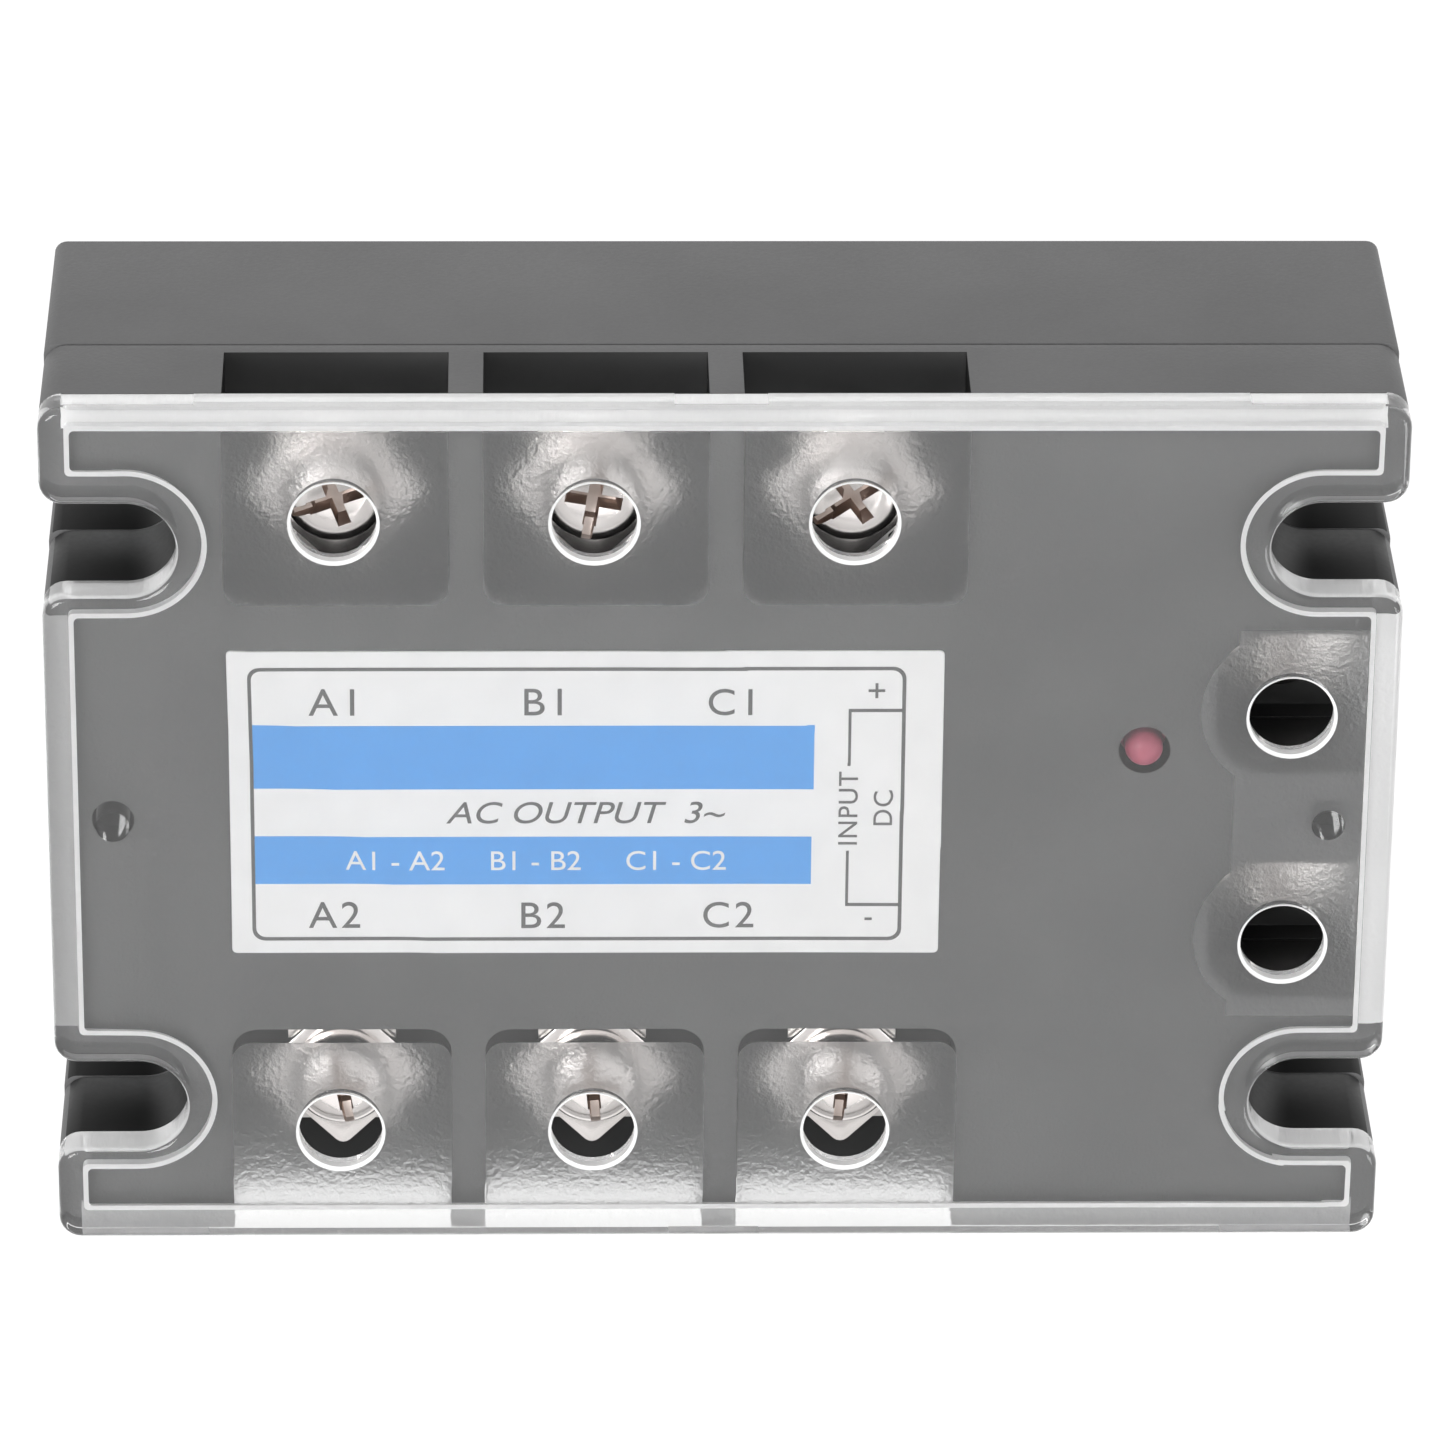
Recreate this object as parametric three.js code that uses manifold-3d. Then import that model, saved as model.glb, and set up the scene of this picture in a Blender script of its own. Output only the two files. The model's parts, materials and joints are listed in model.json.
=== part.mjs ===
// A three-phase solid state relay that screws flat onto a heatsink: a metal base plate, a
// two-part plastic case with six power bays and two control bays, and a clear clip-on cover.
//
// Millimetres, +Z up. The origin is the middle of the base plate's underside, +X runs along
// the long side towards the control terminals, and +Y points to the A1 B1 C1 row.

import * as THREE from 'three';
import { mergeVertices } from 'three/addons/utils/BufferGeometryUtils.js';
import Module from 'manifold-3d';

// ---- driving dimensions ----

const CASE = { length: 105, width: 73, bottom: 0.5, seam: 20, top: 29, corner: 1.8, lowerCorner: 1, wall: 2 };
const NOTCH = { x: 46, y: 24.45, radius: 3.9 };
const PLATE = { inset: 2, thickness: 3, slotRadius: 2.5 };
const COVER = { top: 32, sheet: 1.8, hole: 3.3, holeY: 26.8, pegX: 47.5, pegRadius: 1.3, pegEnd: 26 };
const PHASES = { names: ['a', 'b', 'c'], x: [-30, -10, 10] };
const BAY = { offset: 0.15, width: 17.3, back: 18.8, corner: 2, floor: 21.6 };
const HOLLOW = { ceiling: 26.6, left: -50.3, right: 36.2, back: 17, side: 21, sideBack: 34 };
const CONTROL = { x: 44.2, y: 10, width: 12, left: 38.5, corner: 4, floor: 17.8, floorPlate: 1.6, wall: 1.3 };
const LABEL = { x: -10.6, y: 1.5, length: 55.6, width: 26.6, thickness: 0.2, corner: 1.2 };
const LED = { x: 33, y: 6, radius: 1.5, top: 29.6, flange: 26, flangeRadius: 1.9, hole: 2 };
const BOARD = { left: -38, right: 42, width: 33, bottom: 12, thickness: 1.6 };
const GAP = 0.3;

// Power terminals, M5: everything is stacked on the bay's floor.
const POWER = {
  y: 25.95, thread: 2.5, bar: 0.8, barWidth: 8.6, barFront: 30.9, barBack: 19.3, neck: 6, neckEnd: 21.2,
  washer: 10, washerThickness: 1, head: 4, headHeight: 2.6, screwEnd: 15.6,
  nut: 8, nutThickness: 4, boss: 11, bossFloor: 1, socketDepth: 1.5,
};
// Control terminals, M3.5.
const SMALL = {
  thread: 1.75, strip: 0.8, stripWidth: 7, stripRight: 49.6, stripLeft: 39.3,
  washer: 6.4, washerThickness: 0.6, head: 3, headHeight: 2, screwEnd: 14.7,
  nut: 6, nutThickness: 2.6, boss: 9, bossFloor: 1, socketDepth: 1.3,
};
// The power section on the base plate, under the resin.
const SUBSTRATE = { length: 16, width: 46, thickness: 1 };
const DIE = { side: 7, thickness: 0.5, y: 5.5 };
const FOOT = { length: 5, thickness: 0.8 };
const RESIN = { bottom: 6, top: 11 };

const ARC_STEPS = 4;
const SMALL_ARC_STEPS = 2;
const ROUND_STEPS = 16;
const BORE_STEPS = 12;

// ---- colours ----

const finish = (color, roughness, metalness, opacity = 1) =>
  new THREE.MeshStandardMaterial({ color, roughness, metalness, opacity, transparent: opacity < 1 });
const LOOKS = {
  case: () => finish(0x747576, 0.6, 0),
  cover: () => finish(0xeef2f4, 0.1, 0, 0.35),
  label: () => finish(0xebebeb, 0.5, 0),
  led: () => finish(0xb05070, 0.25, 0),
  plate: () => finish(0xb9bcc0, 0.4, 0.9),
  nickel: () => finish(0xcfc8c6, 0.3, 0.9),
  copper: () => finish(0xb87850, 0.35, 0.9),
  ceramic: () => finish(0xe6e4dc, 0.6, 0),
  silicon: () => finish(0x3a3d42, 0.3, 0.2),
  resin: () => finish(0x2b2c2e, 0.4, 0),
  board: () => finish(0x1f6b3c, 0.5, 0),
  black: () => finish(0x1d1d1f, 0.5, 0),
  film: () => finish(0xa83a2c, 0.5, 0),
};

// ---- solids ----

const manifold = await Module();
manifold.setup();

// A closed geometry as a solid, with its shared vertices merged.
function solid(geometry) {
  const plain = geometry.clone();
  for (const name of Object.keys(plain.attributes)) if (name !== 'position') plain.deleteAttribute(name);
  const merged = mergeVertices(plain, 1e-4);
  return new manifold.Manifold(new manifold.Mesh({
    numProp: 3,
    vertProperties: new Float32Array(merged.attributes.position.array),
    triVerts: new Uint32Array(merged.index.array),
  }));
}

// The solid's vertices and triangles as a geometry.
function geometryOf(body) {
  const mesh = body.getMesh();
  const geometry = new THREE.BufferGeometry();
  geometry.setAttribute('position', new THREE.BufferAttribute(mesh.vertProperties, 3));
  geometry.setIndex(new THREE.BufferAttribute(mesh.triVerts, 1));
  return geometry;
}

// A flat outline raised from z0 to z1.
function raise(shape, z0, z1, steps = ARC_STEPS) {
  const geometry = new THREE.ExtrudeGeometry(shape, {
    depth: z1 - z0, bevelEnabled: false, curveSegments: steps,
  });
  return solid(geometry.translate(0, 0, z0));
}

function block(x0, x1, y0, y1, z0, z1) {
  const geometry = new THREE.BoxGeometry(x1 - x0, y1 - y0, z1 - z0);
  return solid(geometry.translate((x0 + x1) / 2, (y0 + y1) / 2, (z0 + z1) / 2));
}

function rod(x, y, radius, z0, z1, steps = ROUND_STEPS) {
  const geometry = new THREE.CylinderGeometry(radius, radius, z1 - z0, steps);
  return solid(geometry.rotateX(Math.PI / 2).translate(x, y, (z0 + z1) / 2));
}

// A profile of [radius, height] points turned about an upright axis.
function turned(x, y, profile, steps = ROUND_STEPS) {
  const points = profile.map(([radius, height]) => new THREE.Vector2(radius, height));
  return solid(new THREE.LatheGeometry(points, steps).rotateX(Math.PI / 2).translate(x, y, 0));
}

function roundedRectangle(x0, x1, y0, y1, radius) {
  const shape = new THREE.Shape();
  shape.absarc(x1 - radius, y0 + radius, radius, -Math.PI / 2, 0);
  shape.absarc(x1 - radius, y1 - radius, radius, 0, Math.PI / 2);
  shape.absarc(x0 + radius, y1 - radius, radius, Math.PI / 2, Math.PI);
  shape.absarc(x0 + radius, y0 + radius, radius, Math.PI, Math.PI * 1.5);
  return shape;
}

// The plan of the case, moved inwards by `inset`: a rounded rectangle with two open
// mounting notches in each short side.
function plan(inset, corner = CASE.corner) {
  const notchRadius = NOTCH.radius + inset;
  const x = CASE.length / 2 - inset;
  const y = CASE.width / 2 - inset;
  const r = Math.max(corner - inset, 0.4);
  const quarter = Math.PI / 2;
  const shape = new THREE.Shape();
  for (const side of [1, -1]) {
    // one short side, walked anticlockwise, then the next by half a turn
    const turn = side > 0 ? 0 : Math.PI;
    shape.absarc(side * (x - r), -side * (y - r), r, turn - quarter, turn);
    for (const row of [-1, 1]) {
      const middle = side * row * NOTCH.y;
      const lip = notchRadius + r;
      shape.absarc(side * (x - r), middle - side * lip, r, turn, turn + quarter);
      shape.absarc(side * NOTCH.x, middle, notchRadius, turn - quarter, turn - 2 * quarter, true);
      shape.absarc(side * NOTCH.x, middle, notchRadius, turn - 2 * quarter, turn - 3 * quarter, true);
      shape.absarc(side * (x - r), middle + side * lip, r, turn - quarter, turn);
    }
    shape.absarc(side * (x - r), side * (y - r), r, turn, turn + quarter);
  }
  return shape;
}

const union = (bodies) => bodies.reduce((all, body) => all.add(body));
const cut = (body, tools) => tools.reduce((left, tool) => left.subtract(tool), body);

// ---- the assembly ----

const relay = new THREE.Group();

function part(name, body, look) {
  const mesh = new THREE.Mesh(geometryOf(body), LOOKS[look]());
  mesh.name = name;
  relay.add(mesh);
}

// Each power terminal: its name, its place, and +1 or -1 for the side it faces.
const terminals = [1, 2].flatMap((row) => PHASES.names.map((phase, index) => ({
  name: `${phase}${row}`,
  x: PHASES.x[index],
  y: row === 1 ? POWER.y : -POWER.y,
  side: row === 1 ? 1 : -1,
})));
const controls = [
  { name: 'plus', y: CONTROL.y },
  { name: 'minus', y: -CONTROL.y },
];

const barTop = BAY.floor + POWER.bar;
const washerTop = barTop + POWER.washerThickness;
const stripTop = CONTROL.floor + SMALL.strip;
const smallWasherTop = stripTop + SMALL.washerThickness;
const plateTop = PLATE.thickness;
const substrateTop = plateTop + SUBSTRATE.thickness;
const boardTop = BOARD.bottom + BOARD.thickness;

// A box that reaches from y0 to y1 away from the middle, on the terminal's own side.
const sided = (side, x0, x1, y0, y1, z0, z1) =>
  block(x0, x1, Math.min(side * y0, side * y1), Math.max(side * y0, side * y1), z0, z1);

// The terminal bar's upright leg, `clear` wider all round than the bar itself.
const barLeg = ({ x, side }, z0, z1, clear = 0) => sided(
  side, x - POWER.neck / 2 - clear, x + POWER.neck / 2 + clear,
  POWER.barBack - clear, POWER.barBack + POWER.bar + clear, z0, z1,
);

// The bar's flat end on the bay's floor: a narrow neck that widens to the clamped pad.
function barPad({ x, side }, z0, z1) {
  const neck = POWER.neck / 2;
  const half = POWER.barWidth / 2;
  const shape = new THREE.Shape();
  shape.moveTo(-neck, POWER.barBack);
  shape.lineTo(neck, POWER.barBack);
  shape.lineTo(neck, POWER.neckEnd);
  shape.lineTo(half, POWER.neckEnd + half - neck);
  shape.lineTo(half, POWER.barFront);
  shape.lineTo(-half, POWER.barFront);
  shape.lineTo(-half, POWER.neckEnd + half - neck);
  shape.lineTo(-neck, POWER.neckEnd);
  return raise(shape, z0, z1).rotate([0, 0, side > 0 ? 0 : 180]).translate([x, 0, 0]);
}

// A square plate lying flat, turned by `angle`, with a round hole in it.
function squareWasher(x, y, side, hole, z0, z1, angle) {
  const half = side / 2;
  const shape = roundedRectangle(-half, half, -half, half, side / 12);
  const plate = raise(shape, z0, z1, SMALL_ARC_STEPS).rotate([0, 0, angle]).translate([x, y, 0]);
  return cut(plate, [rod(x, y, hole, z0 - 1, z1 + 1, BORE_STEPS)]);
}

// A pan-head screw with a cross recess, its head resting at z = under.
function panScrew(x, y, sizes, under) {
  const { thread, head, headHeight, screwEnd, socketDepth } = sizes;
  const top = under + headHeight;
  const tip = thread * 0.3;
  const blank = turned(x, y, [
    [0, screwEnd], [thread - tip, screwEnd], [thread, screwEnd + tip], [thread, under],
    [head, under], [head, under + headHeight * 0.45], [head * 0.93, under + headHeight * 0.75],
    [head * 0.75, under + headHeight * 0.93], [head * 0.45, top], [0, top],
  ]);
  const arm = head * 0.6;
  const slit = head * 0.13;
  return cut(blank, [
    block(x - arm, x + arm, y - slit, y + slit, top - socketDepth, top + 1),
    block(x - slit, x + slit, y - arm, y + arm, top - socketDepth, top + 1),
  ]);
}

// A square nut with a clearance-sized thread.
function squareNut(x, y, { nut, nutThickness, thread }, top) {
  const body = block(x - nut / 2, x + nut / 2, y - nut / 2, y + nut / 2, top - nutThickness, top);
  return cut(body, [rod(x, y, thread + GAP, top - nutThickness - 1, top + 1, BORE_STEPS)]);
}

// ---- base plate and power section ----

{
  const side = CASE.length / 2 - PLATE.inset - GAP;
  const end = CASE.width / 2 - PLATE.inset - GAP;
  const slots = [1, -1].flatMap((alongX) => [1, -1].map((alongY) => union([
    rod(alongX * NOTCH.x, alongY * NOTCH.y, PLATE.slotRadius, -1, plateTop + 1, BORE_STEPS),
    block(
      Math.min(alongX * NOTCH.x, alongX * (side + 1)), Math.max(alongX * NOTCH.x, alongX * (side + 1)),
      alongY * NOTCH.y - PLATE.slotRadius, alongY * NOTCH.y + PLATE.slotRadius, -1, plateTop + 1,
    ),
  ])));
  part('base_plate', cut(raise(roundedRectangle(-side, side, -end, end, 1), 0, plateTop), slots), 'plate');
}

PHASES.names.forEach((phase, index) => {
  const x = PHASES.x[index];
  const halfLength = SUBSTRATE.length / 2;
  const halfWidth = SUBSTRATE.width / 2;
  part(`substrate_${phase}`, block(
    x - halfLength, x + halfLength, -halfWidth, halfWidth, plateTop, substrateTop,
  ), 'ceramic');
  [1, 2].forEach((number) => {
    const y = number === 1 ? DIE.y : -DIE.y;
    const half = DIE.side / 2;
    part(
      `thyristor_${phase}${number}`,
      block(x - half, x + half, y - half, y + half, substrateTop, substrateTop + DIE.thickness), 'silicon',
    );
  });
  // a plastic strip with four pins, from the ceramic plate up to the control board
  const pins = [-3, -1, 1, 3].map((step) => block(
    x + step * 1.27 - 0.3, x + step * 1.27 + 0.3, -0.3, 0.3, substrateTop, BOARD.bottom,
  ));
  const strip = block(x - 5, x + 5, -1.2, 1.2, BOARD.bottom - 4, BOARD.bottom - 1.5);
  part(`gate_header_${phase}`, union([strip, ...pins]), 'black');
});

{
  const inner = CASE.wall + GAP;
  const openings = [
    ...terminals.map((terminal) => barLeg(terminal, RESIN.bottom - 1, RESIN.top + 1, GAP)),
    ...PHASES.x.map((x) => block(
      x - 5 - GAP, x + 5 + GAP, -1.2 - GAP, 1.2 + GAP, RESIN.bottom - 1, RESIN.top + 1,
    )),
  ];
  part('potting', cut(raise(plan(inner), RESIN.bottom, RESIN.top, SMALL_ARC_STEPS), openings), 'resin');
}

// ---- control board ----

part('control_board', block(
  BOARD.left, BOARD.right, -BOARD.width / 2, BOARD.width / 2, BOARD.bottom, boardTop,
), 'board');
PHASES.names.forEach((phase, index) => {
  const x = PHASES.x[index];
  part(`optocoupler_${phase}`, block(x - 3.3, x + 3.3, -9, -1, boardTop, boardTop + 3.5), 'black');
  part(`snubber_capacitor_${phase}`, raise(
    roundedRectangle(x - 6.5, x + 6.5, 5, 10, 1), boardTop, boardTop + 9.5, SMALL_ARC_STEPS,
  ), 'film');
});

// The indicator: a round lens with a flange, on two square leads soldered to the board.
{
  const leads = [-1, 1].map((row) => block(
    LED.x - 0.25, LED.x + 0.25, LED.y + row * 1.27 - 0.25, LED.y + row * 1.27 + 0.25,
    boardTop, LED.flange - 1,
  ));
  const lens = turned(LED.x, LED.y, [
    [0, LED.flange - 1.3], [LED.flangeRadius, LED.flange - 1.3], [LED.flangeRadius, LED.flange],
    [LED.radius, LED.flange], [LED.radius, LED.top - 1.4], [LED.radius * 0.87, LED.top - 0.6],
    [LED.radius * 0.5, LED.top - 0.12], [0, LED.top],
  ]);
  part('led', union([lens, ...leads]), 'led');
}

// ---- lower case: an open frame around the power section ----

const controlBay = ({ y }, z0, z1) => raise(roundedRectangle(
  CONTROL.left, CASE.length, y - CONTROL.width / 2, y + CONTROL.width / 2, CONTROL.corner,
), z0, z1);
{
  const pocketX = CASE.length / 2 - PLATE.inset;
  const pocketY = CASE.width / 2 - PLATE.inset;
  const frame = cut(raise(plan(0, CASE.lowerCorner), CASE.bottom, CASE.seam), [
    raise(plan(CASE.wall), plateTop, CASE.seam + 1),
    raise(roundedRectangle(-pocketX, pocketX, -pocketY, pocketY, 1), CASE.bottom - 1, plateTop),
    ...controls.map((control) => controlBay(control, CONTROL.floor, CASE.seam + 1)),
  ]);
  part('lower_case', frame, 'case');
}

// ---- upper case: the top of the case, with its bays and nut bosses ----

{
  const half = BAY.width / 2;
  const powerBays = terminals.map(({ x, side }) => {
    const middle = x + BAY.offset;
    const shape = roundedRectangle(middle - half, middle + half, BAY.back, CASE.width, BAY.corner);
    const bay = raise(shape, BAY.floor, CASE.top + 1);
    return side > 0 ? bay : bay.rotate([0, 0, 180]).translate([2 * middle, 0, 0]);
  });
  const bosses = terminals.map(({ x, y }) => block(
    x - POWER.boss / 2, x + POWER.boss / 2, y - POWER.boss / 2, y + POWER.boss / 2,
    BAY.floor - POWER.nutThickness - POWER.bossFloor, CASE.seam + 0.5,
  ));
  const nutPockets = terminals.flatMap(({ x, y }) => {
    const reach = POWER.nut / 2 + GAP;
    return [
      block(x - reach, x + reach, y - reach, y + reach, BAY.floor - POWER.nutThickness, BAY.floor + 1),
      rod(x, y, POWER.thread + GAP, CASE.seam - 6, BAY.floor, BORE_STEPS),
    ];
  });
  const smallTop = CONTROL.floor;
  const tubs = controls.map(({ y }) => {
    const reach = CONTROL.width / 2 + CONTROL.wall;
    return block(
      CONTROL.left - CONTROL.wall, CASE.length / 2 - CASE.wall - GAP,
      y - reach, y + reach, smallTop - CONTROL.floorPlate, CASE.seam + 0.5,
    );
  });
  const smallBosses = controls.map(({ y }) => block(
    CONTROL.x - SMALL.boss / 2, CONTROL.x + SMALL.boss / 2, y - SMALL.boss / 2, y + SMALL.boss / 2,
    smallTop - SMALL.nutThickness - SMALL.bossFloor, smallTop - 0.5,
  ));
  const smallPockets = controls.flatMap(({ y }) => {
    const reach = SMALL.nut / 2 + GAP;
    return [
      block(
        CONTROL.x - reach, CONTROL.x + reach, y - reach, y + reach,
        smallTop - SMALL.nutThickness, smallTop + 1,
      ),
      rod(CONTROL.x, y, SMALL.thread + GAP, smallTop - SMALL.nutThickness - 2, smallTop, BORE_STEPS),
    ];
  });
  const hollows = [
    block(HOLLOW.left, HOLLOW.right, -HOLLOW.back, HOLLOW.back, CASE.seam - 1, HOLLOW.ceiling),
    ...[1, -1].map((side) => sided(
      side, HOLLOW.side, HOLLOW.right, HOLLOW.back - 1, HOLLOW.sideBack, CASE.seam - 1, HOLLOW.ceiling,
    )),
  ];
  const body = cut(raise(plan(0), CASE.seam, CASE.top), hollows);
  const upper = cut(union([body, ...bosses, ...tubs, ...smallBosses]), [
    ...powerBays,
    ...nutPockets,
    ...terminals.map((terminal) => barLeg(terminal, CASE.seam - 5, BAY.floor + 1, GAP)),
    ...controls.map((control) => controlBay(control, smallTop, CASE.top + 1)),
    ...smallPockets,
    ...controls.map((control) => stripLeg(control, CONTROL.floor - 5, CONTROL.floor + 1, GAP)),
    rod(LED.x, LED.y, LED.hole, CASE.seam, CASE.top + 1),
    ...[1, -1].map((side) => rod(
      side * COVER.pegX, 0, COVER.pegRadius + GAP, COVER.pegEnd - 0.5, CASE.top + 1, BORE_STEPS,
    )),
  ]);
  part('upper_case', upper, 'case');
}

part('label', raise(roundedRectangle(
  LABEL.x - LABEL.length / 2, LABEL.x + LABEL.length / 2,
  LABEL.y - LABEL.width / 2, LABEL.y + LABEL.width / 2, LABEL.corner,
), CASE.top, CASE.top + LABEL.thickness), 'label');

// ---- power terminals ----

for (const terminal of terminals) {
  const { name, x, y, side } = terminal;
  const pad = barPad(terminal, BAY.floor, barTop);
  const leg = barLeg(terminal, substrateTop, barTop);
  const foot = sided(
    side, x - POWER.neck / 2, x + POWER.neck / 2,
    POWER.barBack - FOOT.length, POWER.barBack + POWER.bar, substrateTop, substrateTop + FOOT.thickness,
  );
  const hole = rod(x, y, POWER.thread + GAP, BAY.floor - 1, barTop + 1, BORE_STEPS);
  part(`busbar_${name}`, cut(union([pad, leg, foot]), [hole]), 'copper');
  part(`terminal_nut_${name}`, squareNut(x, y, POWER, BAY.floor), 'nickel');
  part(`clamp_washer_${name}`, squareWasher(
    x, y, POWER.washer, POWER.thread + GAP, barTop, washerTop, 45,
  ), 'nickel');
  part(`terminal_screw_${name}`, panScrew(x, y, POWER, washerTop), 'nickel');
}

// ---- control terminals ----

// The control strip's upright leg, `clear` wider all round than the strip itself.
function stripLeg({ y }, z0, z1, clear = 0) {
  return block(
    SMALL.stripLeft - clear, SMALL.stripLeft + SMALL.strip + clear,
    y - SMALL.stripWidth / 4 - clear, y + SMALL.stripWidth / 4 + clear, z0, z1,
  );
}

for (const control of controls) {
  const { name, y } = control;
  const half = SMALL.stripWidth / 2;
  const pad = block(SMALL.stripLeft, SMALL.stripRight, y - half, y + half, CONTROL.floor, stripTop);
  const hole = rod(CONTROL.x, y, SMALL.thread + GAP, CONTROL.floor - 1, stripTop + 1, BORE_STEPS);
  part(`control_strip_${name}`, cut(union([pad, stripLeg(control, boardTop, stripTop)]), [hole]), 'copper');
  part(`control_nut_${name}`, squareNut(CONTROL.x, y, SMALL, CONTROL.floor), 'nickel');
  part(`control_washer_${name}`, squareWasher(
    CONTROL.x, y, SMALL.washer, SMALL.thread + GAP, stripTop, smallWasherTop, 0,
  ), 'nickel');
  part(`control_screw_${name}`, panScrew(CONTROL.x, y, SMALL, smallWasherTop), 'nickel');
}

// ---- clear cover ----

{
  const underside = COVER.top - COVER.sheet;
  const holes = [
    ...terminals.map(({ x, side }) => rod(x, side * COVER.holeY, COVER.hole, underside - 1, COVER.top + 1)),
    ...controls.map(({ y }) => rod(CONTROL.x, y, COVER.hole, underside - 1, COVER.top + 1)),
  ];
  const shell = cut(raise(plan(0), CASE.top, COVER.top), [
    raise(plan(CASE.wall), CASE.top - 1, underside), ...holes,
  ]);
  const pegs = [1, -1].map((side) => rod(
    side * COVER.pegX, 0, COVER.pegRadius, COVER.pegEnd, underside + 0.5, BORE_STEPS,
  ));
  part('clear_cover', union([shell, ...pegs]), 'cover');
}

export default relay;
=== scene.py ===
import json
import math

import bpy
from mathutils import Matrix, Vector


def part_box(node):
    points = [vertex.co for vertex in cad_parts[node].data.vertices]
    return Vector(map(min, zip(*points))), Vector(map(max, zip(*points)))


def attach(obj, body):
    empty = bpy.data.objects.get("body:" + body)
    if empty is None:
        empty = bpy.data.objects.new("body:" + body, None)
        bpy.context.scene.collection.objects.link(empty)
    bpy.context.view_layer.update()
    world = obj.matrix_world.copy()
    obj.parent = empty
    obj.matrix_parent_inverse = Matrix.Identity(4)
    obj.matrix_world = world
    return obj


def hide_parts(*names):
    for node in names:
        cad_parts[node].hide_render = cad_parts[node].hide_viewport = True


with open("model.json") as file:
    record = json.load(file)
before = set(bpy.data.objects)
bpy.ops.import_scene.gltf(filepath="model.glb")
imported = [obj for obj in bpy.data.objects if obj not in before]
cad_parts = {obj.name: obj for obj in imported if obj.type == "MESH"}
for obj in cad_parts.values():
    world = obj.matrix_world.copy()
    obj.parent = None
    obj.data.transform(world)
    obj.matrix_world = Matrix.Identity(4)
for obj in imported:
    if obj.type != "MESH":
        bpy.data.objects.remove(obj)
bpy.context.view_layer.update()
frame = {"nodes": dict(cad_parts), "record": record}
bpy.ops.object.select_all(action="DESELECT")

mm = 0.001


# ---- base plate ----
# A milled aluminium plate that spreads the heat into the heatsink. Four open slots take
# the mounting screws, and its edges are lightly chamfered.

SLOT_RADIUS = 2.5 * mm
NOTCH_X = 46 * mm
NOTCH_Y = 24.45 * mm


def name_it(name):
    """The active object's name, on its mesh too."""
    piece = bpy.context.object
    piece.name = name
    piece.data.name = name
    return piece


def slab(name, low, high, finish):
    """A block of one finish between two corners, with its place kept in its mesh."""
    bpy.ops.mesh.primitive_cube_add(size=1, location=(Vector(low) + Vector(high)) / 2)
    piece = name_it(name)
    piece.scale = Vector(high) - Vector(low)
    bpy.ops.object.transform_apply(location=True, rotation=True, scale=True)
    piece.data.materials.append(finish)
    return piece


def peg(name, x, y, radius, bottom, top, finish, sides=48):
    """An upright cylinder of one finish, with its place kept in its mesh."""
    bpy.ops.mesh.primitive_cylinder_add(
        vertices=sides, radius=radius, depth=top - bottom, location=(x, y, (bottom + top) / 2)
    )
    piece = name_it(name)
    bpy.ops.object.transform_apply(location=True, rotation=True, scale=True)
    piece.data.materials.append(finish)
    return piece


def work_on(piece):
    """Makes the piece the only one selected."""
    bpy.ops.object.select_all(action="DESELECT")
    piece.select_set(True)
    bpy.context.view_layer.objects.active = piece


def pick_edges(piece, wanted):
    """Opens the piece in edit mode with only the edges chosen by their two ends selected."""
    work_on(piece)
    bpy.ops.object.mode_set(mode="EDIT")
    bpy.ops.mesh.select_mode(type="EDGE")
    bpy.ops.mesh.select_all(action="DESELECT")
    bpy.ops.object.mode_set(mode="OBJECT")
    corners = piece.data.vertices
    for edge in piece.data.edges:
        edge.select = wanted(corners[edge.vertices[0]].co, corners[edge.vertices[1]].co)
    bpy.ops.object.mode_set(mode="EDIT")


def pick_faces(piece, wanted):
    """Opens the piece in edit mode with only the faces chosen by centre and normal selected."""
    work_on(piece)
    bpy.ops.object.mode_set(mode="EDIT")
    bpy.ops.mesh.select_mode(type="FACE")
    bpy.ops.mesh.select_all(action="DESELECT")
    bpy.ops.object.mode_set(mode="OBJECT")
    for face in piece.data.polygons:
        face.select = wanted(face.center, face.normal)
    bpy.ops.object.mode_set(mode="EDIT")


def round_off(piece, radius, steps, wanted):
    """Rounds the chosen edges."""
    pick_edges(piece, wanted)
    bpy.ops.mesh.bevel(offset=radius, segments=steps, profile=0.5, affect="EDGES")
    bpy.ops.object.mode_set(mode="OBJECT")


def upright(a, b):
    """Whether the edge between two corners runs straight up."""
    return abs(a.x - b.x) < 0.01 * mm and abs(a.y - b.y) < 0.01 * mm


def join_solids(piece, other, operation):
    """Cuts the other solid out of the piece, or adds it; cut faces keep the cutter's material."""
    work_on(piece)
    boolean = piece.modifiers.new("solid", "BOOLEAN")
    boolean.operation = operation
    boolean.solver = "EXACT"
    boolean.material_mode = "TRANSFER"
    boolean.object = other
    bpy.ops.object.modifier_apply(modifier=boolean.name)
    bpy.data.objects.remove(other, do_unlink=True)


def carve(piece, *cutters):
    for cutter in cutters:
        join_solids(piece, cutter, "DIFFERENCE")


def add_on(piece, *others):
    for other in others:
        join_solids(piece, other, "UNION")


def soften(piece, width, steps=2, angle=40):
    """Takes the sharpness off every edge, and shades the piece smooth across shallow angles."""
    work_on(piece)
    edge = piece.modifiers.new("soft edges", "BEVEL")
    edge.width = width
    edge.segments = steps
    edge.limit_method = "ANGLE"
    edge.angle_limit = math.radians(angle)
    edge.use_clamp_overlap = True
    edge.harden_normals = False
    bpy.ops.object.modifier_apply(modifier=edge.name)
    bpy.ops.object.shade_smooth_by_angle(angle=math.radians(angle))


def fit(piece, body, slot, *nodes):
    """The piece stands for these CAD nodes, which it hides, and moves with the body; slot is not used."""
    if nodes:
        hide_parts(*nodes)
    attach(piece, body)


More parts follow.
